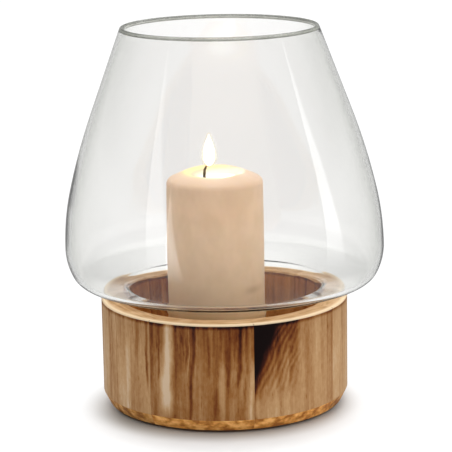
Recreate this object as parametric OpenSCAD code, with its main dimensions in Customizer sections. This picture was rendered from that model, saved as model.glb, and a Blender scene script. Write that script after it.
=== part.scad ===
// Table hurricane: a blown-glass shade standing in a staved wooden base, with a pillar candle inside.
// Millimetres, +Z up. The origin is on the table, under the centre of the base. The front faces -Y.

/* [Wooden base] */
// Outer diameter of the ring of staves
base_d = 175; // [165:1:190]
// Height of the ring's rim above the table
base_h = 77; // [70:1:90]
// Thickness of the ring's wall above its ledge
wall_t = 15; // [14:0.5:16]
// Width of the ledge that carries the floor board
ledge_w = 10; // [6:1:14]
// Depth of the recess, from the rim down to the floor board
recess_depth = 41; // [34:1:45]
// Thickness of the floor board
floor_t = 12; // [8:1:15]
// Height of the sloped edge at the foot of the ring
foot_slope_h = 8; // [4:0.5:12]
// How far the sloped edge leans in at the bottom
foot_slope_in = 4; // [2:0.5:6]
// Chamfer on the two edges of the rim
rim_chamfer = 1; // [0.5:0.25:2]

/* [Felt pads] */
// Diameter of one pad
pad_d = 16; // [10:1:20]
// Thickness of one pad
pad_t = 2; // [1:0.5:3]
// Number of pads under the ring
pad_count = 4; // [3:1:6]

/* [Glass shade] */
// Thickness of the glass
glass_t = 3; // [2.5:0.1:3.5]
// Outer diameter of the neck that stands in the recess
neck_d = 140; // [136:1:142]
// Outer diameter of the belly
belly_d = 226; // [222:1:232]
// Height of the widest line of the belly above the rim of the base
belly_above_rim = 37; // [35:1:42]
// Height of the mouth above the rim of the base
mouth_above_rim = 192; // [180:0.5:205]
// Diameter of the fire-polished bead round the mouth
mouth_bead_d = 3.2; // [3.2:0.2:5]
// How far the glass stands to the right of the base's centre, within the play of its neck in the recess
shade_x = 1; // [-1.5:0.5:1.5]

/* [Candle] */
// Diameter of the candle at its foot
candle_d = 70; // [66:1:74]
// Diameter of the candle at its top
candle_top_d = 67; // [66:1:70]
// Height of the candle
candle_h = 130; // [100:5:140]
// How far the candle stands to the right of the centre, negative to the left
candle_x = -5.5; // [-12:0.5:12]
// Depth of the hollow that the flame has melted
pool_depth = 6; // [3:0.5:7]
// How far the wick is to the right of the candle's own centre
wick_x = -7; // [-8:1:8]
// Diameter of the wick
wick_d = 2; // [1.6:0.2:2.4]

/* [Hidden] */
// Where each stave starts, at a glue line, in degrees from the front towards +X. The widths differ, because
// the ring was turned from staves of mixed widths.
glue_lines = [-36, 13, 59, 96, 133, 183, 232, 278];
stave_count = len(glue_lines);

round_fn = 96;
fine_fn = 32;

wood_color = "burlywood";
board_color = "tan";
felt_color = "dimgray";
glass_color = [0.85, 0.92, 0.92, 0.35];
wax_color = "wheat";
wick_color = "black";

// Base
base_r = base_d / 2;
recess_r = base_r - wall_t;
ledge_r = recess_r - ledge_w;
floor_z = base_h - recess_depth;
ledge_z = floor_z - floor_t;
board_gap = 0.5;
board_chamfer = 0.8;

// Pads: round felt discs centred on the flat underside of the ring
pad_ring_r = (ledge_r + base_r - foot_slope_in) / 2;

// Glass. The outer outline is a chain of tangent arcs. The belly's lower side has two arcs, its upper side
// two more, and then a straight flank runs up to the mouth. The underside slopes down to the neck.
neck_r = neck_d / 2;
belly_r = belly_d / 2;
belly_z = base_h + belly_above_rim;
mouth_z = base_h + mouth_above_rim;
// Radius of the arc just under the widest line, and the angle that it turns through
under_belly_r = 40;
under_belly_turn = 28;
// Radius of the tight turn from the belly to the underside
low_turn_r = 11.5;
// Slope of the underside, down towards the neck
underside_slope = 14;
// Outer radius of the turn from the underside into the neck
neck_fillet_r = 5;
// Radius of the arc just over the widest line, and the angle that it turns through
over_belly_r = 171;
over_belly_turn = 13;
// Radius of the long shoulder arc, and the lean of the straight flank that it ends in
shoulder_r = 440;
flank_lean = 20.6;
// Rounding of the neck's lower edge
neck_edge_r = 1;

// Candle
candle_r = candle_d / 2;
candle_top_r = candle_top_d / 2;
candle_top_z = floor_z + candle_h;
foot_chamfer = 1.5;
// The softened shoulder: a rounding at the side, then a slope up to the lip of the hollow
shoulder_round_r = 5;
shoulder_slope = 25;
lip_w = 12.5;
lip_r = candle_top_r - lip_w;
round_centre_r = candle_top_r - shoulder_round_r;
round_end_r = round_centre_r + shoulder_round_r * sin(shoulder_slope);
round_end_z = candle_top_z - (round_end_r - lip_r) * tan(shoulder_slope);
round_centre_z = round_end_z - shoulder_round_r * cos(shoulder_slope);
pool_z = candle_top_z - pool_depth;
pool_wall_w = 3;
wick_straight_h = 4.5;
wick_bend_r = 7;
wick_bend_turn = 40;
wick_tip_d = wick_d - 0.4;

// Points of an arc round [cx, cy] from angle a0 to angle a1, in equal steps
function arc(cx, cy, r, a0, a1, steps) =
    [for (i = [0 : steps]) let (a = a0 + (a1 - a0) * i / steps) [cx + r * cos(a), cy + r * sin(a)]];

// Centres and ends of the glass arcs, worked out from the belly down and then from the belly up
under_centre = [belly_r - under_belly_r, belly_z];
under_end = under_centre + under_belly_r * [cos(under_belly_turn), -sin(under_belly_turn)];
low_centre = under_end - low_turn_r * [cos(under_belly_turn), -sin(under_belly_turn)];
low_end_angle = underside_slope - 90;
low_end = low_centre + low_turn_r * [cos(low_end_angle), sin(low_end_angle)];
fillet_r_pos = neck_r + neck_fillet_r * (1 - sin(underside_slope));
fillet_z_pos = low_end[1] - (low_end[0] - fillet_r_pos) * tan(underside_slope);
fillet_centre = [neck_r + neck_fillet_r, fillet_z_pos - neck_fillet_r * cos(underside_slope)];
over_centre = [belly_r - over_belly_r, belly_z];
over_end = over_centre + over_belly_r * [cos(over_belly_turn), sin(over_belly_turn)];
shoulder_centre = over_end - shoulder_r * [cos(over_belly_turn), sin(over_belly_turn)];
shoulder_end = shoulder_centre + shoulder_r * [cos(flank_lean), sin(flank_lean)];
bead_z = mouth_z - mouth_bead_d / 2;
flank_top_r = shoulder_end[0] - (bead_z - shoulder_end[1]) * tan(flank_lean);
bead_r_pos = flank_top_r - glass_t / 2 * cos(flank_lean);

// Places a child drawn round the Z axis so that angle 0 is at the front and angles grow towards +X
module from_front(angle) {
    rotate([0, 0, angle - 90]) children();
}

module stave(index) {
    start = glue_lines[index];
    last = index == stave_count - 1;
    end = last ? glue_lines[0] + 360 : glue_lines[index + 1];
    color(wood_color)
        from_front(start)
            rotate_extrude(angle = end - start, $fn = round_fn)
                polygon([
                    [ledge_r, pad_t],
                    [base_r - foot_slope_in, pad_t],
                    [base_r, pad_t + foot_slope_h],
                    [base_r, base_h - rim_chamfer],
                    [base_r - rim_chamfer, base_h],
                    [recess_r + rim_chamfer, base_h],
                    [recess_r, base_h - rim_chamfer],
                    [recess_r, ledge_z],
                    [ledge_r, ledge_z]
                ]);
}

module floor_disc() {
    disc_r = recess_r - board_gap;
    color(board_color)
        rotate_extrude($fn = round_fn)
            polygon([
                [0, ledge_z],
                [disc_r, ledge_z],
                [disc_r, floor_z - board_chamfer],
                [disc_r - board_chamfer, floor_z],
                [0, floor_z]
            ]);
}

module pads() {
    color(felt_color)
        for (i = [0 : pad_count - 1])
            from_front((i + 0.5) * 360 / pad_count)
                translate([pad_ring_r, 0, 0])
                    cylinder(h = pad_t, d = pad_d, $fn = fine_fn);
}

// The wall of the glass, as half of its upright section. The inner line is the outer one moved in by glass_t.
module glass_section() {
    outer = concat(
        arc(neck_r - neck_edge_r, floor_z + neck_edge_r, neck_edge_r, -90, 0, 4),
        arc(fillet_centre[0], fillet_centre[1], neck_fillet_r, 180, 90 + underside_slope, 8),
        arc(low_centre[0], low_centre[1], low_turn_r, low_end_angle, -under_belly_turn, 8),
        arc(under_centre[0], under_centre[1], under_belly_r, -under_belly_turn, 0, 6),
        arc(over_centre[0], over_centre[1], over_belly_r, 0, over_belly_turn, 5),
        arc(shoulder_centre[0], shoulder_centre[1], shoulder_r, over_belly_turn, flank_lean, 4),
        [[flank_top_r, bead_z]]
    );
    inner = concat(
        [[flank_top_r - glass_t * cos(flank_lean), bead_z - glass_t * sin(flank_lean)]],
        arc(shoulder_centre[0], shoulder_centre[1], shoulder_r - glass_t, flank_lean, over_belly_turn, 4),
        arc(over_centre[0], over_centre[1], over_belly_r - glass_t, over_belly_turn, 0, 5),
        arc(under_centre[0], under_centre[1], under_belly_r - glass_t, 0, -under_belly_turn, 6),
        arc(low_centre[0], low_centre[1], low_turn_r - glass_t, -under_belly_turn, low_end_angle, 8),
        arc(fillet_centre[0], fillet_centre[1], neck_fillet_r + glass_t, 90 + underside_slope, 180, 8),
        arc(neck_r - glass_t + neck_edge_r, floor_z + neck_edge_r, neck_edge_r, 180, 270, 4)
    );
    polygon(concat(outer, inner));
}

module glass_shade() {
    color(glass_color)
        translate([shade_x, 0, 0])
            rotate_extrude($fn = round_fn)
                union() {
                    glass_section();
                    translate([bead_r_pos, bead_z]) circle(d = mouth_bead_d, $fn = fine_fn);
                }
}

module candle_body() {
    color(wax_color)
        translate([candle_x, 0, 0])
            difference() {
                rotate_extrude($fn = round_fn)
                    polygon(concat(
                        [[0, floor_z], [candle_r - foot_chamfer, floor_z], [candle_r, floor_z + foot_chamfer]],
                        arc(round_centre_r, round_centre_z, shoulder_round_r, 0, 90 - shoulder_slope, 6),
                        [[lip_r, candle_top_z], [lip_r - pool_wall_w, pool_z], [0, pool_z]]
                    ));
                translate([wick_x, 0, floor_z - 1])
                    cylinder(h = candle_h + 2, d = wick_d, $fn = fine_fn);
            }
}

// The wick runs up through the whole candle, stands clear of the pool and bends over to the right at its tip.
// The charred tip is thinner, and it starts a little inside the straight length, so that the two are one solid.
module wick() {
    bend_z = pool_z + wick_straight_h;
    bend_start = 184;
    color(wick_color)
        translate([candle_x + wick_x, 0, 0]) {
            translate([0, 0, floor_z])
                cylinder(h = bend_z - floor_z, d = wick_d, $fn = fine_fn);
            translate([wick_bend_r, 0, bend_z])
                rotate([90, 0, 0])
                    rotate([0, 0, 180 - wick_bend_turn])
                        rotate_extrude(angle = bend_start - (180 - wick_bend_turn), $fn = round_fn)
                            translate([wick_bend_r, 0]) circle(d = wick_tip_d, $fn = fine_fn);
        }
}

for (i = [0 : stave_count - 1]) {
    stave(i);
}
floor_disc();
pads();
glass_shade();
candle_body();
wick();
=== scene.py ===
"""Looks for a table hurricane: a blown-glass shade and a lit pillar candle on a staved wooden base."""

import math

import bpy
from mathutils import Matrix, Vector, noise


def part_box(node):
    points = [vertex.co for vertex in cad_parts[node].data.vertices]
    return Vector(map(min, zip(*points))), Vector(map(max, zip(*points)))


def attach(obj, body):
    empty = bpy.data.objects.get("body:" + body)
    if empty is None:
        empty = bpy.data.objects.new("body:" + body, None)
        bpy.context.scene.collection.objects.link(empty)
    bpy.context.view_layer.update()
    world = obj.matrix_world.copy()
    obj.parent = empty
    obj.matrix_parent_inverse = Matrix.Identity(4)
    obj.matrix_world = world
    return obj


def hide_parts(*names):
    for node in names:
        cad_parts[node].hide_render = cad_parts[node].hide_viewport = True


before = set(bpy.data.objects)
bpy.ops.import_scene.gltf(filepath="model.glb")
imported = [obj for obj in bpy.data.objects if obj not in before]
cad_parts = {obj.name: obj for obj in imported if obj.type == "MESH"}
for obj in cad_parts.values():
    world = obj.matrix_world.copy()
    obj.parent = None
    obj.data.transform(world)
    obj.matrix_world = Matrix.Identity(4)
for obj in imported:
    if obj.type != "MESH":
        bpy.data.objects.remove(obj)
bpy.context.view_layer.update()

MM = 0.001

# Sizes, in metres. What the frame's boxes give is read from them; the rest repeats the design.
GLASS_LOW, GLASS_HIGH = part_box("glass_shade")
CANDLE_LOW, CANDLE_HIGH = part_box("candle_body")
DISC_LOW, DISC_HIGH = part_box("floor_disc")
PAD_LOW, PAD_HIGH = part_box("pads")
WICK_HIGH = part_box("wick")[1]
STAVE_BOXES = [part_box(node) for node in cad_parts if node.startswith("stave_")]

RIM_Z = max(high.z for low, high in STAVE_BOXES)
FOOT_Z = min(low.z for low, high in STAVE_BOXES)
BASE_R = max(high.x for low, high in STAVE_BOXES)
RECESS_R = BASE_R - 15 * MM
LEDGE_R = RECESS_R - 10 * MM
FLOOR_Z = DISC_HIGH.z
LEDGE_Z = DISC_LOW.z
FOOT_SLOPE_H = 8 * MM
FOOT_SLOPE_IN = 4 * MM
RIM_CHAMFER = 1 * MM
# Where the staves meet, in degrees from the front towards +X
GLUE_LINES = (-36, 13, 59, 96, 133, 183, 232, 278)

GLASS_T = 3 * MM
NECK_R = 70 * MM
GLASS_X = (GLASS_LOW.x + GLASS_HIGH.x) / 2
BELLY_R = (GLASS_HIGH.x - GLASS_LOW.x) / 2
BELLY_Z = RIM_Z + 37 * MM
BEAD_R = 1.6 * MM
# How far the mouth of the glass stands to the left of its neck
MOUTH_LEAN = 1.3 * MM

CANDLE_X = (CANDLE_LOW.x + CANDLE_HIGH.x) / 2
CANDLE_R = (CANDLE_HIGH.x - CANDLE_LOW.x) / 2
CANDLE_TOP_R = CANDLE_R - 1.5 * MM
WICK_X = CANDLE_X - 7 * MM
POOL_Z = CANDLE_HIGH.z - 6 * MM
POOL_R = 12 * MM
POOL_ASIDE = 3.5 * MM
FLAME_X = WICK_X + 3.4 * MM
FLAME_LOW = WICK_HIGH.z - 0.8 * MM
FLAME_H = 22.5 * MM
# How near to its axis the section of a solid round piece comes
AXIS_R = 0.05 * MM

# Strengths of the light that the far floor and the surroundings give off
FLOOR_GLOW = 1.03
WALL_LIGHT = 0.3
CEILING_LIGHT = 1.5
# The share of that light that a mirrored ray meets
REFLECTED_LIGHT = 0.35

# Where the camera stands, its tilt and roll in degrees, and its lens in millimetres
CAMERA_SPOT = (2.1 * MM, -1362 * MM, 430.5 * MM)
CAMERA_DOWN = 12.61
CAMERA_ROLL = -0.98
CAMERA_LENS = 157.0


def srgb(red, green, blue):
    """A colour given as it looks on a screen, 0 to 255, as linear light with an alpha of 1."""
    def linear(value):
        share = value / 255
        return share / 12.92 if share <= 0.04045 else ((share + 0.055) / 1.055) ** 2.4

    return (linear(red), linear(green), linear(blue), 1.0)


# ---------------------------------------------------------------- shapes


def arc(centre, radius, start, end, steps):
    """Points on an arc, from angle start to angle end in degrees, as (radius, height) pairs."""
    turns = [math.radians(start + (end - start) * i / steps) for i in range(steps + 1)]
    return [(centre[0] + radius * math.cos(a), centre[1] + radius * math.sin(a)) for a in turns]


def rounded(corners, steps=4):
    """An outline from (r, z, rounding) corners, each rounded by an arc of that radius."""
    points = []
    for i, (r, z, size) in enumerate(corners):
        here = Vector((r, z))
        if size <= 0:
            points.append((r, z))
            continue
        before = (Vector(corners[i - 1][:2]) - here).normalized()
        after = (Vector(corners[(i + 1) % len(corners)][:2]) - here).normalized()
        half = before.angle(after) / 2
        reach = size / math.tan(half)
        centre = here + (before + after).normalized() * (size / math.sin(half))
        start, end = here + before * reach - centre, here + after * reach - centre
        for k in range(steps + 1):
            share = k / steps
            spoke = start.lerp(end, share).normalized() * size
            points.append(tuple(centre + spoke))
    return points


def outline_normals(outline):
    """Unit normals of a closed anticlockwise outline, pointing outwards."""
    count = len(outline)
    normals = []
    for i in range(count):
        along = Vector(outline[(i + 1) % count]) - Vector(outline[i - 1])
        normals.append(Vector((along.y, -along.x)).normalized())
    return normals


def mesh_object(name, points, faces, sharp=35):
    """A smooth-shaded mesh object, with edges over the sharp angle left crisp."""
    mesh = bpy.data.meshes.new(name)
    mesh.from_pydata(points, [], faces)
    mesh.validate()
    mesh.shade_smooth()
    mesh.set_sharp_from_angle(angle=math.radians(sharp))
    made = bpy.data.objects.new(name, mesh)
    bpy.context.scene.collection.objects.link(made)
    return made


def lathe(name, rings, closed, axis_x=0.0, sharp=35):
    """Joins rings into a mesh. Each ring is (angle in degrees from the front, its outline)."""
    count = len(rings[0][1])
    points, faces = [], []
    for angle, outline in rings:
        turn = math.radians(angle)
        points += [(axis_x + r * math.sin(turn), -r * math.cos(turn), z) for r, z in outline]
    last = len(rings) if closed else len(rings) - 1
    for j in range(last):
        a, b = j * count, (j + 1) % len(rings) * count
        for i in range(count):
            k = (i + 1) % count
            faces.append((a + i, b + i, b + k, a + k))
    if not closed:
        end = last * count
        faces.append(tuple(range(count)))
        faces.append(tuple(range(end + count - 1, end - 1, -1)))
    return mesh_object(name, points, faces, sharp)


def turned(name, section, steps, axis_x=0.0, sharp=35):
    """A closed section turned all the way round. section(turn) is its outline at an angle in radians."""
    rings = []
    for j in range(steps):
        turn = math.tau * j / steps
        rings.append((math.degrees(turn), section(turn)))
    return lathe(name, rings, True, axis_x, sharp)


def full_turn(name, outline, steps, axis_x=0.0, shape=None, sharp=35):
    """One closed outline turned all the way round. shape(r, z, turn) may move each point."""
    move = shape or (lambda r, z, turn: (r, z))
    return turned(name, lambda turn: [move(r, z, turn) for r, z in outline], steps, axis_x, sharp)


# ---------------------------------------------------------------- materials


class Graph:
    """A node tree, with short calls for the nodes that this script uses."""

    def __init__(self, tree):
        self.tree = tree
        self.tree.nodes.clear()

    def node(self, kind, inputs=None, **settings):
        """A node of some kind. Its inputs are given by name or number, each as a value or a socket."""
        made = self.tree.nodes.new(kind)
        for key, value in settings.items():
            setattr(made, key, value)
        for key, value in (inputs or {}).items():
            self.feed(made.inputs[key], value)
        return made

    def feed(self, socket, value):
        """Links a socket to an input, or sets the input to a plain value."""
        if isinstance(value, bpy.types.NodeSocket):
            self.tree.links.new(value, socket)
        else:
            socket.default_value = value

    def math(self, operation, a, b=0.0, c=0.0, clamp=False):
        made = self.node("ShaderNodeMath", {0: a, 1: b, 2: c}, operation=operation, use_clamp=clamp)
        return made.outputs[0]

    def mix(self, share, a, b, blend="MIX"):
        """Colour a, turned into colour b by a share of 0 to 1."""
        made = self.node("ShaderNodeMix", {0: share, 6: a, 7: b}, data_type="RGBA", blend_type=blend)
        return made.outputs[2]

    def span(self, value, low, high, to_low=0.0, to_high=1.0, smooth=True):
        """Turns a value between low and high into one between to_low and to_high, and holds it there."""
        kind = "SMOOTHSTEP" if smooth else "LINEAR"
        made = self.node("ShaderNodeMapRange", {0: value, 1: low, 2: high, 3: to_low, 4: to_high},
                         interpolation_type=kind)
        return made.outputs[0]

    def noise(self, vector, scale=1.0, detail=3.0, roughness=0.5, distortion=0.0):
        inputs = {"Vector": vector, "Scale": scale, "Detail": detail, "Roughness": roughness,
                  "Distortion": distortion}
        return self.node("ShaderNodeTexNoise", inputs).outputs[0]

    def ramp(self, value, stops):
        """A colour for each value. stops are (value, colour) pairs in rising order."""
        made = self.node("ShaderNodeValToRGB", {0: value})
        points = made.color_ramp.elements
        while len(points) < len(stops):
            points.new(0.5)
        for point, (place, colour) in zip(points, stops):
            point.position = place
            point.color = colour
        return made.outputs[0]

    def band(self, value, centre, half):
        """1 where value is at centre, falling smoothly to 0 at half to either side."""
        off = self.math("ABSOLUTE", self.math("SUBTRACT", value, centre))
        return self.span(off, 0.0, half, 1.0, 0.0)

    def total(self, *values):
        result = values[0]
        for value in values[1:]:
            result = self.math("ADD", result, value)
        return result

    def product(self, *values):
        result = values[0]
        for value in values[1:]:
            result = self.math("MULTIPLY", result, value)
        return result

    def mirror_share(self):
        """REFLECTED_LIGHT for a ray that a surface has mirrored, and 1 for every other ray."""
        rays = self.node("ShaderNodeLightPath").outputs
        not_through = self.math("SUBTRACT", 1.0, rays["Is Transmission Ray"])
        return self.total(1.0, self.product(rays["Is Glossy Ray"], not_through, REFLECTED_LIGHT - 1))

    def place(self):
        """Where a point is, in the row frame, in metres."""
        return self.node("ShaderNodeTexCoord").outputs["Object"]

    def mapped(self, vector, location=(0, 0, 0), rotation=(0, 0, 0), scale=(1, 1, 1)):
        """A place that is scaled, turned and moved, which stretches and shifts a pattern."""
        inputs = {"Vector": vector, "Location": location, "Rotation": rotation, "Scale": scale}
        return self.node("ShaderNodeMapping", inputs).outputs[0]

    def split(self, vector):
        """The x, y and z of a vector."""
        return self.node("ShaderNodeSeparateXYZ", {0: vector}).outputs

    def distance(self, x, y, centre_x, centre_y):
        """How far a place is from an upright line, seen from above."""
        aside, ahead = self.total(x, -centre_x), self.total(y, -centre_y)
        return self.math("SQRT", self.total(self.product(aside, aside), self.product(ahead, ahead)))

    def bump(self, height, distance, strength=1.0):
        inputs = {"Height": height, "Distance": distance, "Strength": strength}
        return self.node("ShaderNodeBump", inputs).outputs[0]

    def finish(self, shader):
        """Ends a material's tree in a shader."""
        self.node("ShaderNodeOutputMaterial", {"Surface": shader.outputs[0]})

    def principled(self, inputs):
        """Ends a material's tree in a Principled shader with these inputs."""
        self.finish(self.node("ShaderNodeBsdfPrincipled", inputs))


def new_material(name):
    """An empty material and the graph that fills it."""
    material = bpy.data.materials.new(name)
    material.use_nodes = True
    return material, Graph(material.node_tree)


def dress(piece, material, body, slot, *nodes):
    """Gives a piece its material and its body, and hides the CAD nodes that it stands for. slot is not
    used.
    """
    piece.data.materials.append(material)
    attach(piece, body)
    if nodes:
        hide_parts(*nodes)


# ---------------------------------------------------------------- wooden base


def stave_outline():
    """The upright section of the ring, anticlockwise, with its corners a little rounded."""
    crisp, soft = 0.3 * MM, 0.5 * MM
    return rounded([
        (LEDGE_R, FOOT_Z, crisp),
        (BASE_R - FOOT_SLOPE_IN, FOOT_Z, crisp),
        (BASE_R, FOOT_Z + FOOT_SLOPE_H, soft),
        (BASE_R, RIM_Z - RIM_CHAMFER, crisp),
        (BASE_R - RIM_CHAMFER, RIM_Z, crisp),
        (RECESS_R + RIM_CHAMFER, RIM_Z, crisp),
        (RECESS_R, RIM_Z - RIM_CHAMFER, crisp),
        (RECESS_R, LEDGE_Z, 0),
        (LEDGE_R, LEDGE_Z, crisp),
    ])


def make_stave(index):
    """One stave, with a fine groove left where it meets its neighbours."""
    groove_depth = 0.18 * MM
    # In degrees
    groove_half_angle = 0.14
    start = GLUE_LINES[index]
    end = GLUE_LINES[index + 1] if index + 1 < len(GLUE_LINES) else GLUE_LINES[0] + 360
    outline = stave_outline()
    normals = outline_normals(outline)
    inset = [tuple(Vector(p) - n * groove_depth) for p, n in zip(outline, normals)]
    steps = round(end - start)
    inner_start, inner_end = start + groove_half_angle, end - groove_half_angle
    rings = [(start, inset)]
    rings += [(inner_start + (inner_end - inner_start) * i / steps, outline) for i in range(steps + 1)]
    rings += [(end, inset)]
    piece = lathe(f"wood_stave_{index + 1}", rings, False, sharp=30)
    middle = math.radians((start + end) / 2)
    dress(piece, stave_material(index, middle), "base", "stave_wood", f"stave_{index + 1}")


# Tones of the wood, from the darkest knot to the palest sapwood, on a scale of 0 to 1
WOOD_TONES = (
    (0.00, (14, 0, 0)),
    (0.14, (62, 20, 4)),
    (0.32, (112, 57, 16)),
    (0.48, (143, 93, 44)),
    (0.64, (168, 125, 81)),
    (0.80, (188, 149, 105)),
    (1.00, (208, 182, 152)),
)

# How pale each stave is, and how much its tone wanders
STAVE_TONE = (
    (0.51, 0.55),
    (0.69, 0.35),
    (0.80, 0.30),
    (0.60, 0.50),
    (0.72, 0.40),
    (0.52, 0.55),
    (0.66, 0.45),
    (0.76, 0.50),
)

# Streaks that run up each stave. A streak is an angle from the front in degrees, then its half width, its
# lean to the right and the heights where it starts and ends in millimetres, then its change of the tone.
STREAKS = {
    0: (
        (-35.2, 2.0, 0, 30, 90, -0.22),
        (-27.2, 6.4, 2.5, 16, 90, 0.58),
        (-31.5, 1.0, 2.0, 35, 74, -0.14),
        (-18.0, 1.4, 2.0, 46, 66, -0.20),
        (-15.0, 2.0, 4.0, 10, 90, -0.26),
        (-16.9, 0.7, 3.0, 42, 78, 0.20),
        (-7.5, 2.2, 0, 42, 72, -0.17),
        (-1.0, 6.0, 0, -10, 50, 0.10),
        (2.7, 3.4, 0, -10, 24, 0.20),
        (1.9, 1.8, 0, 34, 78, -0.14),
        (6.1, 2.4, 2.0, 36, 84, -0.34),
        (9.0, 1.2, 1.0, 20, 80, -0.10),
        (11.9, 2.6, 2.0, -10, 48, 0.28),
    ),
    1: (
        (46.0, 9.0, 0, -10, 90, 0.08),
        (57.5, 1.2, 0, 5, 90, -0.10),
        (54.0, 1.0, 0, 40, 76, -0.10),
    ),
    2: (
        (70.0, 2.0, 0, 20, 90, -0.10),
        (84.0, 2.5, 3, -10, 90, -0.16),
    ),
    3: ((110.0, 2.4, -3, -10, 90, -0.22), (120.0, 1.6, -2, 20, 90, -0.18)),
    4: ((150.0, 3.0, 2, -10, 60, -0.15), (168.0, 2.0, 3, 20, 90, -0.22)),
    5: (
        (196.0, 2.2, 0, -10, 90, -0.24),
        (215.0, 3.5, -3, 30, 90, -0.20),
        (205.0, 3.0, 0, -10, 90, 0.18),
    ),
    6: ((250.0, 2.0, 2, -10, 70, -0.20), (262.0, 3.0, 2, -10, 90, 0.16)),
    7: (
        (-64.0, 1.3, 0, 30, 80, -0.16),
        (-59.5, 1.2, 0, 0, 90, -0.10),
        (-50.0, 4.5, 1, 0, 60, 0.12),
        (-43.5, 3.4, 1, 48, 90, -0.14),
        (-37.4, 1.8, 0, 30, 90, -0.30),
    ),
}


# What the wood's colour is multiplied by: painted light on the foot of the two front staves, and painted
# warm light inside the recess
FRONT_FOOT_PAINTED_LIGHT = (1.35, 1.30, 1.22, 1.0)
RECESS_PAINTED_LIGHT = (1.85, 1.30, 0.66, 1.0)


def stave_material(index, middle):
    """Lacquered wood: streaky upright grain, end grain on the rim and a warm cut slope at the foot, with
    painted shade under the rim and painted light on the rim, the front foot and in the recess.
    """
    material, g = new_material(f"stave_wood_{index + 1}")
    level, wander = STAVE_TONE[index]
    turned_place = g.mapped(g.place(), rotation=(0, 0, -middle))
    across, inward, up = g.split(turned_place)
    depth = g.distance(across, inward, 0, 0)
    seeded = g.mapped(turned_place, location=(3.7 * index, 2.6 * index, 1.1 * index))

    sway = g.noise(g.mapped(seeded, scale=(20, 20, 45)), detail=2.0)
    sway = g.product(g.math("SUBTRACT", sway, 0.5), 5 * MM)
    broad = g.noise(g.mapped(seeded, scale=(75, 75, 9)), detail=2.0, distortion=0.3)
    streak = g.noise(g.mapped(seeded, scale=(260, 260, 14)), detail=3.0, roughness=0.6)
    fibre = g.noise(g.mapped(seeded, scale=(1100, 1100, 70)), detail=2.0)
    pores = g.noise(g.mapped(seeded, scale=(700, 700, 130)), detail=1.0)
    fleck = g.noise(g.mapped(seeded, scale=(420, 420, 210)), detail=3.0, roughness=0.65)

    grain = g.total(g.product(g.math("SUBTRACT", broad, 0.5), 1.3 * wander),
                    g.product(g.math("SUBTRACT", streak, 0.5), 1.1 * wander),
                    g.product(g.math("SUBTRACT", fleck, 0.5), 0.28))
    tone = streaked(g, g.total(grain, level), index, middle, g.total(across, sway), up)
    # Painted shade: the side darkens towards the rim, and a painted shade line runs just under it
    upper_shade = -0.16 if index == 0 else -0.07
    tone = g.total(tone, g.product(g.span(up, 0.45 * RIM_Z, RIM_Z), upper_shade),
                   g.product(g.span(up, RIM_Z - 4 * MM, RIM_Z - 1.5 * MM), -0.26))
    if index == 1:
        tone = knot(g, tone, across, up, middle, sway, seeded)
    tone = g.total(tone, g.span(pores, 0.36, 0.26, 0.0, -0.10))
    side = g.ramp(tone, [(place, srgb(*colour)) for place, colour in WOOD_TONES])

    upward = g.split(g.node("ShaderNodeNewGeometry").outputs["Normal"])[2]
    # The rim: end grain, made paler partly as painted light from above
    colour = g.mix(g.span(upward, 0.45, 0.8), side, rim_colour(g, index, seeded, broad, depth))
    colour = g.mix(g.span(upward, -0.2, -0.4), colour, foot_colour(g, index, seeded))
    # Painted warm light on the wall inside the recess
    recess = g.product(g.span(depth, RECESS_R + 0.6 * MM, RECESS_R + 0.2 * MM),
                       g.span(up, RIM_Z, RIM_Z - 3 * MM))
    colour = g.mix(recess, colour, g.mix(1.0, colour, RECESS_PAINTED_LIGHT, "MULTIPLY"))

    relief = g.total(g.product(fibre, 0.5), g.product(streak, 0.3), g.product(pores, 0.4))
    g.principled({
        "Base Color": colour,
        "Roughness": g.span(grain, -0.25, 0.25, 0.60, 0.46),
        "Normal": g.bump(relief, 0.22 * MM, 0.6),
        "Specular IOR Level": 0.14,
    })
    return material


def streaked(g, tone, index, middle, across, up):
    """The tone of a stave with its own streaks added."""
    blur = 8
    height = g.math("DIVIDE", up, RIM_Z)
    for angle, half, lean, low, high, change in STREAKS[index]:
        spot = BASE_R * math.sin(math.radians(angle) - middle)
        centre = g.math("MULTIPLY_ADD", height, lean * MM, spot - lean * MM / 2)
        ends = g.product(g.span(up, (low - blur) * MM, (low + blur) * MM),
                         g.span(up, (high - blur) * MM, (high + blur) * MM, 1.0, 0.0))
        tone = g.total(tone, g.product(g.band(across, centre, half * MM), ends, change))
    return tone


def rim_colour(g, index, seeded, broad, depth):
    """The end grain on the rim, paler partly as painted light from above, with a painted highlight along
    its outer edge.
    """
    # Painted light: the rims of the two staves on the right are paler, as if lit from the right
    paler = 0.16 if index in (2, 3) else 0.03
    rings = g.noise(g.mapped(seeded, rotation=(0, 0, 0.6), scale=(60, 500, 60)), detail=3.0)
    rim = g.ramp(g.total(g.product(rings, 0.8), g.product(broad, 0.4), paler), [
        (0.42, srgb(160, 116, 70)),
        (0.6, srgb(196, 152, 104)),
        (0.8, srgb(222, 184, 140)),
    ])
    # Painted highlight along the outer edge of the rim
    return g.mix(g.span(depth, BASE_R - 5 * MM, BASE_R - 1.6 * MM), rim, srgb(252, 226, 188))


def foot_colour(g, index, seeded):
    """The cut slope at the foot, with painted light making it paler on the two front staves."""
    cut = g.noise(g.mapped(seeded, rotation=(0, 0.7, 0), scale=(160, 40, 240)), detail=2.0)
    foot = g.ramp(cut, [
        (0.36, srgb(146, 92, 42)),
        (0.5, srgb(190, 134, 68)),
        (0.66, srgb(222, 172, 106)),
    ])
    # Painted light on the foot of the two front staves
    return g.mix(1.0, foot, FRONT_FOOT_PAINTED_LIGHT, "MULTIPLY") if index in (0, 1) else foot


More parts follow.
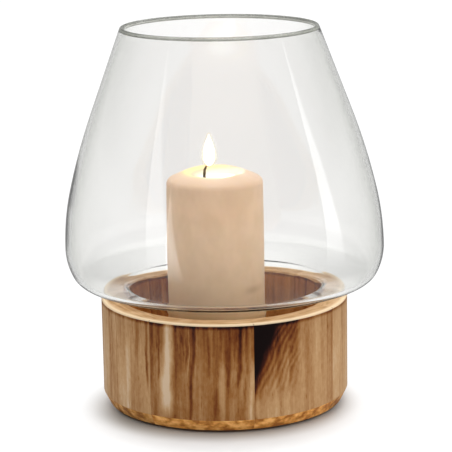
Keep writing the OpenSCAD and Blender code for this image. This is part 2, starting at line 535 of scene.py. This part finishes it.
def knot(g, tone, across, up, middle, sway, seeded):
    """A near-black knot cut through by the stave's left edge, with wavy grain beside it."""
    edge = BASE_R * math.sin(math.radians(GLUE_LINES[1]) - middle)
    aside = g.total(across, -edge)
    rise = g.span(up, 22 * MM, 80 * MM, smooth=False)
    reach = g.total(g.product(g.math("POWER", rise, 1.4), 21 * MM), -1 * MM)
    rough = g.noise(g.mapped(seeded, scale=(160, 160, 60)), detail=3.0)
    inside = g.total(reach, g.product(g.math("SUBTRACT", rough, 0.5), 8 * MM), g.product(aside, -1.0))
    core = g.span(inside, -3.5 * MM, 3.0 * MM)
    halo = g.span(inside, -19 * MM, 1 * MM)
    slant = g.total(aside, g.product(up, -0.42), g.product(sway, 2.6),
                    g.product(g.math("SUBTRACT", rough, 0.5), 5 * MM))
    wave_length = 4.2 * MM
    waves = g.math("SINE", g.product(slant, math.tau / wave_length))
    region = g.product(g.span(aside, 41 * MM, 25 * MM), g.span(up, 14 * MM, 40 * MM))
    tone = g.total(tone, g.product(waves, region, 0.07), g.product(region, -0.17),
                   g.product(halo, g.span(up, 10 * MM, 60 * MM), -0.26))
    return g.math("MULTIPLY", tone, g.math("SUBTRACT", 1.0, core, clamp=True))


def make_floor_disc():
    """The round board inside the ring, which the glass and the candle stand on."""
    radius = DISC_HIGH.x
    edge = 0.6 * MM
    outline = rounded([
        (AXIS_R, LEDGE_Z, 0),
        (radius, LEDGE_Z, edge),
        (radius, FLOOR_Z, edge),
        (AXIS_R, FLOOR_Z, 0),
    ])
    piece = full_turn("wood_floor_board", outline, 128)
    dress(piece, board_material(), "base", "board_wood", "floor_disc")


def board_material():
    """Plain sanded wood, with its grain along x."""
    material, g = new_material("board_wood")
    place = g.place()
    grain = g.noise(g.mapped(place, scale=(9, 150, 150)), detail=3.0, distortion=0.5)
    fibre = g.noise(g.mapped(place, scale=(60, 1300, 1300)), detail=2.0)
    colour = g.ramp(grain, [
        (0.3, srgb(140, 98, 60)),
        (0.5, srgb(176, 134, 92)),
        (0.7, srgb(196, 158, 116)),
    ])
    colour = g.mix(g.span(fibre, 0.42, 0.3, 0.0, 0.4), colour, srgb(104, 66, 36))
    g.principled({
        "Base Color": colour,
        "Roughness": g.span(grain, 0.3, 0.7, 0.7, 0.55),
        "Normal": g.bump(fibre, 0.2 * MM, 0.5),
    })
    return material


def make_pads():
    """Four felt discs, which stand for the one node that they are in the design."""
    count = 4
    radius = 8 * MM
    ring_r = (LEDGE_R + BASE_R - FOOT_SLOPE_IN) / 2
    outline = rounded([
        (AXIS_R, PAD_LOW.z, 0),
        (radius, PAD_LOW.z, 0.5 * MM),
        (radius, PAD_HIGH.z, 0.3 * MM),
        (AXIS_R, PAD_HIGH.z, 0),
    ])
    discs = []
    for i in range(count):
        turn = math.tau * (i + 0.5) / count
        disc = full_turn(f"felt_pad_{i + 1}", outline, 48)
        disc.data.transform(Matrix.Translation((ring_r * math.sin(turn), -ring_r * math.cos(turn), 0)))
        discs.append(disc)
    material = felt_material()
    for disc in discs:
        dress(disc, material, "base", "felt")
    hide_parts("pads")


def felt_material():
    """Dark fluffy felt."""
    material, g = new_material("felt")
    place = g.place()
    fluff = g.noise(place, scale=2600, detail=4.0, roughness=0.7)
    colour = g.mix(g.span(fluff, 0.35, 0.65), srgb(38, 32, 28), srgb(70, 62, 54))
    g.principled({
        "Base Color": colour,
        "Roughness": 0.95,
        "Sheen Weight": 0.4,
        "Normal": g.bump(fluff, 0.3 * MM, 0.8),
    })
    return material


# ---------------------------------------------------------------- glass shade


def glass_outline():
    """The section of the glass wall: up the outside, over the mouth, down the inside and round the foot.

    Also gives how many of its points lie on the outside, and the middle of the bead at the mouth.
    """
    # The arcs below the belly, at the low turn, in to the neck, above the belly and at the shoulder. Angles
    # are in degrees.
    under_r, under_turn = 40 * MM, 28
    low_r, slope = 11.5 * MM, 14
    fillet_r = 5 * MM
    over_r, over_turn = 171 * MM, 13
    shoulder_r, lean = 440 * MM, 20.6
    edge_r = 1.2 * MM

    def spoke(angle, length):
        return Vector((math.cos(math.radians(angle)), math.sin(math.radians(angle)))) * length

    under_centre = Vector((BELLY_R - under_r, BELLY_Z))
    low_centre = under_centre + spoke(-under_turn, under_r - low_r)
    low_end = low_centre + spoke(slope - 90, low_r)
    fillet_at = NECK_R + fillet_r * (1 - math.sin(math.radians(slope)))
    fillet_z = low_end.y - (low_end.x - fillet_at) * math.tan(math.radians(slope))
    fillet_centre = Vector((NECK_R + fillet_r, fillet_z - fillet_r * math.cos(math.radians(slope))))
    over_centre = Vector((BELLY_R - over_r, BELLY_Z))
    shoulder_centre = over_centre + spoke(over_turn, over_r - shoulder_r)
    shoulder_end = shoulder_centre + spoke(lean, shoulder_r)
    bead_z = GLASS_HIGH.z - BEAD_R
    flank_top = shoulder_end.x - (bead_z - shoulder_end.y) * math.tan(math.radians(lean))

    def wall(inset):
        """One face of the wall, from the neck up, moved in by inset."""
        flank = spoke(lean, -inset)
        points = arc(fillet_centre, fillet_r + inset, 180, 90 + slope, 10)
        points += arc(low_centre, low_r - inset, slope - 90, -under_turn, 14)
        points += arc(under_centre, under_r - inset, -under_turn, 0, 10)[1:]
        points += arc(over_centre, over_r - inset, 0, over_turn, 10)[1:]
        points += arc(shoulder_centre, shoulder_r - inset, over_turn, lean, 8)[1:]
        steps = 12
        for i in range(1, steps):
            z = shoulder_end.y + (bead_z - shoulder_end.y) * i / steps
            r = shoulder_end.x - (z - shoulder_end.y) * math.tan(math.radians(lean))
            points.append((r + flank.x, z + flank.y))
        return points

    def neck(r, steps=8):
        low, high = GLASS_LOW.z + edge_r, fillet_centre.y
        return [(r, low + (high - low) * i / steps) for i in range(steps)]

    bead_centre = Vector((flank_top, bead_z)) - spoke(lean, GLASS_T / 2)
    bead = arc(bead_centre, GLASS_T / 2, lean, 180 + lean, 16)
    outside = neck(NECK_R) + wall(0)
    inside = neck(NECK_R - GLASS_T) + wall(GLASS_T)
    outer_edge = arc((NECK_R - edge_r, GLASS_LOW.z + edge_r), edge_r, -90, 0, 5)[:-1]
    inner_edge = arc((NECK_R - GLASS_T + edge_r, GLASS_LOW.z + edge_r), edge_r, 180, 270, 5)[1:]
    outline = outer_edge + outside + bead + inside[::-1] + inner_edge
    return outline, len(outer_edge) + len(outside) + len(bead) // 2, bead_centre


def make_glass():
    """The shade: a wall of slightly uneven glass, and the bead round its mouth as a piece of its own."""
    outline, outside_count, bead_centre = glass_outline()
    steps, bead_sides = 240, 24
    # A little finer than the bead in the CAD
    bead_r = BEAD_R - 0.2 * MM
    # How far in, in millimetres, each face is moved, so that its waves never stand out past the CAD's face
    outside_in, inside_in = 0.33, 0.2

    def uneven_share(z):
        """How uneven the glass is: not at all at the neck, and fully from just above the belly."""
        return min(1.0, max(0.0, (z - RIM_Z - 10 * MM) / (40 * MM)))

    def leaning(z, turn):
        """How far the lean to the left moves the wall: nothing up to the belly, most at the mouth."""
        share = max(0.0, (z - BELLY_Z) / (GLASS_HIGH.z - BELLY_Z))
        return -MOUTH_LEAN * share * math.sin(turn)

    def blown(r, z, turn):
        """The outside, slightly uneven and leaning."""
        wave = 0.16 * math.sin(2 * turn + 1.1 + 9 * z) + 0.10 * math.sin(5 * turn - 23 * z)
        wave += 0.07 * math.sin(3 * turn + 47 * z) - outside_in
        return r + wave * MM * uneven_share(z) + leaning(z, turn), z

    def blown_inside(r, z, turn):
        """The inside, which has an unevenness of its own."""
        wave = 0.12 * math.sin(3 * turn + 0.4 - 14 * z) + 0.08 * math.sin(4 * turn + 31 * z) - inside_in
        return r + wave * MM * uneven_share(z) + leaning(z, turn), z

    def wall_section(turn):
        outside = [blown(r, z, turn) for r, z in outline[:outside_count]]
        return outside + [blown_inside(r, z, turn) for r, z in outline[outside_count:]]

    def bead_section(turn):
        return arc(blown(*bead_centre, turn), bead_r, 0, 360 - 360 / bead_sides, bead_sides - 1)

    bead = turned("glass_mouth_bead", bead_section, steps, GLASS_X, sharp=60)
    bead.visible_shadow = False
    dress(bead, bead_material(), "shade", "clear_glass")
    piece = turned("blown_glass_shade", wall_section, steps, GLASS_X, sharp=60)
    piece.visible_shadow = False
    dress(piece, glass_material(), "shade", "clear_glass", "glass_shade")


def bead_material():
    """The fire-polished bead, half clear, with the light and dark that it gathers painted in as a
    grey-green colour.
    """
    material, g = new_material("glass_bead")
    along = g.noise(g.mapped(g.place(), scale=(40, 40, 120)), detail=2.0)
    g.principled({
        # Painted reflection: dark and light grey-green in place of what the bead mirrors
        "Base Color": g.mix(along, (0.30, 0.31, 0.28, 1.0), (0.80, 0.81, 0.76, 1.0)),
        "Roughness": 0.05,
        "IOR": 1.5,
        "Transmission Weight": 0.7,
    })
    return material


def glass_material():
    """Clear glass with a faint warm grey in it, darkened towards its edges as painted shade where it is
    seen along the wall.
    """
    material, g = new_material("clear_glass")
    place = g.place()
    ripple = g.noise(g.mapped(place, scale=(14, 14, 26)), detail=1.0)
    facing = g.node("ShaderNodeLayerWeight", {"Blend": 0.5}).outputs["Facing"]
    # Painted shade: the tint darkens where the wall is seen at a grazing angle
    tint = g.ramp(facing, [
        (0.0, (0.942, 0.936, 0.928, 1.0)),
        (0.30, (0.925, 0.924, 0.914, 1.0)),
        (0.58, (0.855, 0.858, 0.840, 1.0)),
        (0.78, (0.690, 0.698, 0.668, 1.0)),
        (1.0, (0.600, 0.612, 0.575, 1.0)),
    ])
    low_tint, neck_tint = (0.955, 0.96, 0.945, 1.0), (0.96, 0.95, 0.92, 1.0)
    height = g.split(place)[2]
    tint = g.mix(g.span(height, RIM_Z + 8 * MM, RIM_Z + 26 * MM), low_tint, tint)
    tint = g.mix(g.span(height, RIM_Z + 3 * MM, RIM_Z + 9 * MM), neck_tint, tint)
    g.principled({
        "Base Color": tint,
        "Roughness": 0.0,
        "IOR": 1.5,
        "Transmission Weight": 1.0,
        "Normal": g.bump(ripple, 0.6 * MM, 0.25),
    })
    return material


# ---------------------------------------------------------------- candle


def make_candle():
    """The wax: softly dented sides, a slumped shoulder and an uneven lip round an off-centre hollow."""
    foot, shoulder = 1.5 * MM, 5 * MM
    top = CANDLE_HIGH.z
    shoulder_z = top - 9.2 * MM
    lip_r = 20.5 * MM
    side_steps = 26
    outline = [(AXIS_R, FLOOR_Z), (CANDLE_R - foot, FLOOR_Z)]
    for i in range(side_steps + 1):
        share = i / side_steps
        z = FLOOR_Z + foot + (shoulder_z - FLOOR_Z - foot) * share
        outline.append((CANDLE_R + (CANDLE_TOP_R - CANDLE_R) * share, z))
    outline += arc((CANDLE_TOP_R - shoulder, shoulder_z), shoulder, 0, 64, 7)[1:]
    slope_start, slope_end = outline[-1], (lip_r + 1.5 * MM, top - 0.5 * MM)
    for share in (0.3, 0.6, 0.85):
        outline.append(tuple(Vector(slope_start).lerp(Vector(slope_end), share)))
    lip = ((0.8, -0.15), (-0.4, 0.0), (-1.8, -0.7))
    outline += [(lip_r + out * MM, top + up * MM) for out, up in lip]
    hollow = ((4.0, 3.0), (2.0, 1.5), (0.6, 0.6), (-0.8, 0.1))
    outline += [(POOL_R + out * MM, POOL_Z + up * MM) for out, up in hollow]
    outline += [(POOL_R * 0.6, POOL_Z - 0.2 * MM), (AXIS_R, POOL_Z - 0.2 * MM)]

    def melted(r, z, turn):
        """Dents in the side, and a lip that stands highest at the back and has slumped at the front."""
        if r < 1 * MM:
            return r, z
        around = Vector((math.sin(turn), math.cos(turn), 0))
        dent = noise.noise(around * 1.3 + Vector((0, 0, z * 22))) * 0.25 * MM
        near_top = min(1.0, max(0.0, (z - shoulder_z) / (top - shoulder_z)))
        slump = 1.0 + 1.0 * math.cos(turn) + 0.9 * noise.noise(around * 2.1 + Vector((4, 0, 2)))
        in_hollow = min(1.0, max(0.0, (r - POOL_R) / (lip_r - POOL_R)))
        return r + dent * min(1.0, r / CANDLE_R), z - max(0.0, slump) * MM * near_top ** 2 * in_hollow

    piece = full_turn("wax_candle", outline, 128, CANDLE_X, melted, sharp=50)
    # The hollow is moved aside from the candle's middle
    for vertex in piece.data.vertices:
        if vertex.co.z > POOL_Z - 1 * MM:
            reach = math.hypot(vertex.co.x - CANDLE_X, vertex.co.y)
            inward = min(1.0, max(0.0, (lip_r - reach) / (lip_r - POOL_R)))
            vertex.co.x += POOL_ASIDE * inward
    dress(piece, wax_material(), "candle", "wax", "candle_body")


def wax_material():
    """Cream wax with a darker oval spot, darker towards the foot as painted shade, paler round the hollow
    and yellow near the flame as painted flame light, and with a painted glow near its top.
    """
    material, g = new_material("wax")
    place = g.place()
    x, y, z = g.split(place)
    mottle = g.noise(g.mapped(place, scale=(60, 60, 45)), detail=4.0, roughness=0.6)
    speck = g.noise(place, scale=900, detail=2.0)
    # Darker towards the foot: painted shade of the recess round the candle's foot
    body = g.ramp(g.span(z, CANDLE_LOW.z, CANDLE_HIGH.z, smooth=False), [
        (0.0, srgb(120, 82, 44)),
        (0.13, srgb(156, 116, 72)),
        (0.24, srgb(217, 184, 141)),
        (0.42, srgb(230, 198, 160)),
        (0.84, srgb(241, 208, 175)),
        (0.93, srgb(232, 200, 168)),
        (0.96, srgb(206, 176, 150)),
        (1.0, srgb(200, 174, 150)),
    ])
    body = g.mix(g.span(mottle, 0.35, 0.65, 0.0, 0.22), body, srgb(196, 160, 116))
    # A darker oval spot on the side
    dark_spot_x, dark_spot_z = CANDLE_X + 26 * MM, 84 * MM
    dark_spot = g.product(g.band(x, dark_spot_x, 10 * MM), g.band(z, dark_spot_z, 5 * MM))
    body = g.mix(g.product(dark_spot, 0.5), body, srgb(176, 138, 98))
    # Painted flame light: the wax is paler round the hollow
    from_pool = g.distance(x, y, CANDLE_X + POOL_ASIDE, 0)
    paler = g.span(from_pool, POOL_R + 7 * MM, POOL_R + 2 * MM, 0.0, 0.8)
    body = g.mix(paler, body, srgb(252, 240, 220))
    # Painted flame light: a yellow pool of light on the top near the flame
    lit = g.product(g.span(g.distance(x, y, FLAME_X, 0), 27 * MM, 13 * MM),
                    g.span(z, CANDLE_HIGH.z - 3 * MM, CANDLE_HIGH.z - 0.6 * MM))
    body = g.mix(g.product(lit, 0.8), body, srgb(250, 222, 134))
    # Painted glow: the wax gives off light towards its top, standing for the flame's light in it
    glow = g.span(z, CANDLE_HIGH.z - 20 * MM, CANDLE_HIGH.z + 1 * MM)
    g.principled({
        "Base Color": body,
        "Roughness": g.span(mottle, 0.3, 0.7, 0.42, 0.55),
        "IOR": 1.44,
        "Specular IOR Level": 0.35,
        "Subsurface Weight": 0.35,
        "Subsurface Radius": (1.0, 0.6, 0.3),
        "Subsurface Scale": 6 * MM,
        "Normal": g.bump(g.total(mottle, g.product(speck, 0.25)), 0.4 * MM, 0.4),
        "Emission Color": (1.0, 0.95, 0.86, 1.0),
        "Emission Strength": g.product(g.math("POWER", glow, 3.5), 0.22),
    })
    return material


def make_pool():
    """Melted wax standing in the hollow, with its edge drawn up where it meets the solid wax."""
    rim = POOL_R + 1.1 * MM
    level = POOL_Z + 0.7 * MM
    outline = [
        (AXIS_R, level - 0.6 * MM),
        (rim - 2.6 * MM, level - 0.6 * MM),
        (rim, level + 0.3 * MM),
        (rim - 0.8 * MM, level + 0.12 * MM),
        (rim - 2 * MM, level),
        (AXIS_R, level),
    ]

    def spread(r, z, turn):
        """An edge that isn't quite round."""
        share = r / rim
        return r * (1 + 0.05 * share * math.sin(3 * turn + 0.7)), z

    piece = full_turn("melted_wax", outline, 96, CANDLE_X + POOL_ASIDE, spread, sharp=60)
    dress(piece, melted_material(), "candle", "wax")


def melted_material():
    """Clear bright wax with a slow swirl in it, and a painted glow that stands for the flame's light on it.
    """
    material, g = new_material("melted_wax")
    swirl = g.noise(g.mapped(g.place(), scale=(90, 90, 90)), detail=2.0, distortion=0.8)
    colour = g.mix(swirl, srgb(252, 238, 214), srgb(255, 250, 240))
    g.principled({
        "Base Color": colour,
        "Roughness": 0.12,
        "IOR": 1.43,
        "Subsurface Weight": 0.3,
        "Subsurface Scale": 4 * MM,
        # Painted glow: the melted wax gives off light, standing for the flame's light on it
        "Emission Color": (1.0, 0.97, 0.90, 1.0),
        "Emission Strength": g.total(g.product(swirl, 0.3), 0.35),
    })
    return material


def wick_path():
    """The wick above the melted wax, as points of its middle line."""
    straight = WICK_HIGH.z - 5.1 * MM
    bend_r, bend_turn, bend_steps = 7 * MM, 40, 8
    points = [Vector((WICK_X, 0, POOL_Z - 1 * MM)), Vector((WICK_X, 0, (POOL_Z + straight) / 2))]
    for i in range(bend_steps + 1):
        turn = math.radians(bend_turn * i / bend_steps)
        aside, rise = bend_r * (1 - math.cos(turn)), bend_r * math.sin(turn)
        points.append(Vector((WICK_X + aside, 0, straight + rise)))
    return points


def make_wick():
    """A twisted cotton wick, burnt thin at its tip."""
    path = wick_path()
    sides = 14
    wick_r, burnt_away = 1.0 * MM, 0.35 * MM
    plies, ply_depth, ply_twist = 3, 0.12, 1.6
    points, faces = [], []
    for j, centre in enumerate(path):
        ahead = path[min(j + 1, len(path) - 1)] - path[max(j - 1, 0)]
        along = ahead.normalized()
        sideways = Vector((0, 1, 0))
        upward = along.cross(sideways).normalized()
        radius = wick_r - burnt_away * j / (len(path) - 1)
        for i in range(sides):
            turn = math.tau * i / sides
            ply = 1 + ply_depth * math.cos(plies * turn + ply_twist * j)
            spoke = (sideways * math.cos(turn) + upward * math.sin(turn)) * radius * ply
            points.append(centre + spoke)
    for j in range(len(path) - 1):
        for i in range(sides):
            k = (i + 1) % sides
            a, b = j * sides, (j + 1) * sides
            faces.append((a + i, a + k, b + k, b + i))
    faces.append(tuple(range(sides - 1, -1, -1)))
    tip = (len(path) - 1) * sides
    faces.append(tuple(range(tip, tip + sides)))
    piece = mesh_object("cotton_wick", points, faces)
    dress(piece, wick_material(), "candle", "wick_cotton", "wick")


def wick_material():
    """Charred cotton, with a red ember at its tip."""
    material, g = new_material("charred_cotton")
    place = g.place()
    thread = g.noise(g.mapped(place, scale=(900, 900, 500)), detail=3.0)
    colour = g.mix(g.span(thread, 0.4, 0.65), srgb(40, 34, 20), srgb(96, 84, 56))
    ember = g.span(g.split(place)[2], WICK_HIGH.z - 1.2 * MM, WICK_HIGH.z)
    g.principled({
        "Base Color": colour,
        "Roughness": 0.9,
        "Normal": g.bump(thread, 0.2 * MM, 0.7),
        "Emission Color": (1.0, 0.25, 0.04, 1.0),
        "Emission Strength": ember,
    })
    return material


# The flame's core and the veils round it: how far each stands out, its strength, and its share of what
# is seen through it
FLAME_SHELLS = (
    (0.0, 9.0, 1.0),
    (0.7 * MM, 1.3, 0.30),
    (1.5 * MM, 1.3, 0.16),
    (2.6 * MM, 1.3, 0.07),
)


def flame_outline(grow):
    """Half of a flame's upright section, grown outwards by grow."""
    widest, steps = 3.9 * MM, 26
    tip_r, axis_r = 0.02 * MM, 0.01 * MM
    low = FLAME_LOW - 0.4 * grow
    height = FLAME_H + 1.2 * grow
    outline = []
    for i in range(steps):
        share = i / steps
        body = min(1.0, share / 0.22) ** 0.5
        taper = 1.0 if share < 0.35 else math.cos(math.pi / 2 * (share - 0.35) / 0.65) ** 1.05
        r = (widest * taper + grow * (0.4 + 0.6 * taper)) * body
        outline.append((max(tip_r, r), low + height * share))
    return outline + [(tip_r, low + height), (axis_r, low + height), (axis_r, low)]


def make_flame():
    """The flame: a bright core in three thin veils, which soften its edge."""
    for i, (grow, strength, share) in enumerate(FLAME_SHELLS):
        name = f"flame_{i + 1}"
        piece = full_turn(name, flame_outline(grow), 40, FLAME_X, sharp=80)
        piece.visible_shadow = False
        dress(piece, flame_material(name, strength, share), "candle", "wick_cotton")


def flame_material(name, strength, share):
    """Plain glow, yellower at its foot and tip. A share below 1 lets what is behind it through."""
    material, g = new_material(name)
    rise = g.span(g.split(g.place())[2], FLAME_LOW, FLAME_LOW + FLAME_H, smooth=False)
    colour = g.ramp(rise, [
        (0.0, (1.0, 0.80, 0.45, 1.0)),
        (0.25, (1.0, 0.92, 0.70, 1.0)),
        (0.7, (1.0, 0.95, 0.80, 1.0)),
        (1.0, (1.0, 0.88, 0.62, 1.0)),
    ])
    glow = g.node("ShaderNodeEmission", {"Color": colour, "Strength": strength})
    if share < 1:
        clear = g.node("ShaderNodeBsdfTransparent")
        glow = g.node("ShaderNodeMixShader", {0: share, 1: clear.outputs[0], 2: glow.outputs[0]})
    g.finish(glow)
    return material


# ---------------------------------------------------------------- floor, light and camera


def make_floor():
    """A pale floor that takes the shadow near the base, darkened round the base by a painted contact
    shadow, and glows evenly further out.
    """
    bpy.ops.mesh.primitive_plane_add(size=14)
    floor = bpy.context.object
    floor.name = "floor"
    material, g = new_material("floor_white")
    place = g.place()
    x, y, _ = g.split(place)
    reach = g.distance(g.product(x, 1.15), y, 0, -30 * MM)
    far = g.span(reach, 82 * MM, 132 * MM)
    grit = g.noise(place, scale=40, detail=2.0)
    near = g.mix(grit, (0.80, 0.80, 0.80, 1.0), (0.84, 0.84, 0.84, 1.0))
    # Painted contact shadow: a dark ring where the base meets the floor
    from_base = g.distance(x, y, -4 * MM, -1 * MM)
    near = g.mix(g.span(from_base, 82 * MM, 106 * MM), (0.42, 0.40, 0.37, 1.0), near)
    g.principled({
        "Base Color": g.mix(far, near, (0.02, 0.02, 0.02, 1.0)),
        "Roughness": 0.9,
        "Specular IOR Level": 0.1,
        "Emission Color": (1.0, 1.0, 1.0, 1.0),
        "Emission Strength": g.product(far, FLOOR_GLOW, g.mirror_share()),
    })
    floor.data.materials.append(material)


def area_light(name, spot, aim, width, height, power, seen=("diffuse",)):
    """A rectangular lamp. seen names the kinds of ray that meet it."""
    data = bpy.data.lights.new(name, "AREA")
    data.shape = "RECTANGLE"
    data.size = width
    data.size_y = height
    data.energy = power
    light = bpy.data.objects.new(name, data)
    light.location = spot
    light.rotation_euler = (Vector(aim) - Vector(spot)).to_track_quat("-Z", "Y").to_euler()
    light.visible_camera = False
    light.visible_transmission = False
    light.visible_diffuse = "diffuse" in seen
    light.visible_glossy = "glossy" in seen
    bpy.context.scene.collection.objects.link(light)
    return light


def strip(name, low_end, high_end, width, radiance):
    """A soft-edged panel that only shows as a reflection.

    Its middle line runs between two ends, each given as degrees from the front towards +X, and the distance
    from the axis and the height in metres.
    """
    ends = []
    for azimuth, distance, z in (low_end, high_end):
        turn = math.radians(azimuth)
        ends.append(Vector((distance * math.sin(turn), -distance * math.cos(turn), z)))
    middle = (ends[0] + ends[1]) / 2
    upward = ends[1] - ends[0]
    length = upward.length
    upward.normalize()
    outward = Vector((middle.x, middle.y, 0))
    outward = (outward - upward * outward.dot(upward)).normalized()
    power = radiance * math.pi * width * length
    light = area_light(name, middle, (0, 0, middle.z), width, length, power, ("glossy",))
    light.rotation_euler = Matrix((upward.cross(outward), upward, outward)).transposed().to_euler()
    light.data.use_nodes = True
    g = Graph(light.data.node_tree)
    one, two, _ = g.split(g.node("ShaderNodeNewGeometry").outputs["Parametric"])
    third = g.math("SUBTRACT", 1.0, g.total(one, two))
    soft = g.product(g.span(two, 0.0, 0.35), g.span(two, 1.0, 0.65),
                     g.span(third, 0.0, 0.15), g.span(third, 1.0, 0.85))
    glow = g.node("ShaderNodeEmission", {"Color": (1.0, 1.0, 1.0, 1.0), "Strength": soft})
    g.node("ShaderNodeOutputLight", {"Surface": glow.outputs[0]})


def make_lights():
    """Two lamps, three panels that the glass mirrors, and surroundings bright low down and overhead."""
    target = (0.0, 0.0, 0.13)
    area_light("overhead_softbox", (0.1, 0.6, 1.8), target, 1.2, 1.2, 20)
    area_light("right_key", (1.5, -0.9, 1.0), target, 1.0, 1.0, 9.5)
    strip("left_core", (-29, 0.4, 0.01), (-30, 0.4, 0.31), 0.09, 4.0)
    strip("left_veil", (-35, 0.4, 0.04), (-46, 0.4, 0.52), 0.17, 2.1)
    strip("right_veil", (77, 0.5, 0.0), (84, 0.5, 0.55), 0.17, 3.2)
    world = bpy.data.worlds.new("studio")
    world.use_nodes = True
    bpy.context.scene.world = world
    g = Graph(world.node_tree)
    rise = g.split(g.node("ShaderNodeTexCoord").outputs["Generated"])[2]
    low = g.span(rise, 0.10, 0.26, 1.0, WALL_LIGHT)
    level = g.total(low, g.span(rise, 0.45, 0.80, 0.0, CEILING_LIGHT - WALL_LIGHT))
    diffuse = g.node("ShaderNodeLightPath").outputs["Is Diffuse Ray"]
    low_share = g.total(1.0, g.product(diffuse, g.span(rise, 0.30, 0.10), -0.5))
    level = g.product(level, g.mirror_share(), low_share)
    sky = g.node("ShaderNodeBackground", {"Color": (1.0, 1.0, 1.0, 1.0), "Strength": level})
    g.node("ShaderNodeOutputWorld", {"Surface": sky.outputs[0]})


def make_flame_light():
    """The small light that the flame throws, which moves with the candle."""
    data = bpy.data.lights.new("flame_light", "POINT")
    data.energy = 0.003
    data.color = (1.0, 0.90, 0.76)
    data.shadow_soft_size = 3 * MM
    light = bpy.data.objects.new("flame_light", data)
    light.location = (FLAME_X, 0, FLAME_LOW + 10 * MM)
    bpy.context.scene.collection.objects.link(light)
    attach(light, "candle")


def make_camera():
    """The camera, as it stood for the photo."""
    data = bpy.data.cameras.new("camera")
    data.lens = CAMERA_LENS
    data.sensor_width = 36
    camera = bpy.data.objects.new("camera", data)
    tilt = Matrix.Rotation(math.radians(90 - CAMERA_DOWN), 4, "X")
    roll = Matrix.Rotation(math.radians(CAMERA_ROLL), 4, "Z")
    camera.matrix_world = Matrix.Translation(CAMERA_SPOT) @ tilt @ roll
    bpy.context.scene.collection.objects.link(camera)
    bpy.context.scene.camera = camera


make_camera()
make_lights()
make_floor()
for stave_index in range(len(GLUE_LINES)):
    make_stave(stave_index)
make_floor_disc()
make_pads()
make_glass()
make_candle()
make_pool()
make_wick()
make_flame()
make_flame_light()
bpy.context.scene.view_settings.view_transform = "Standard"
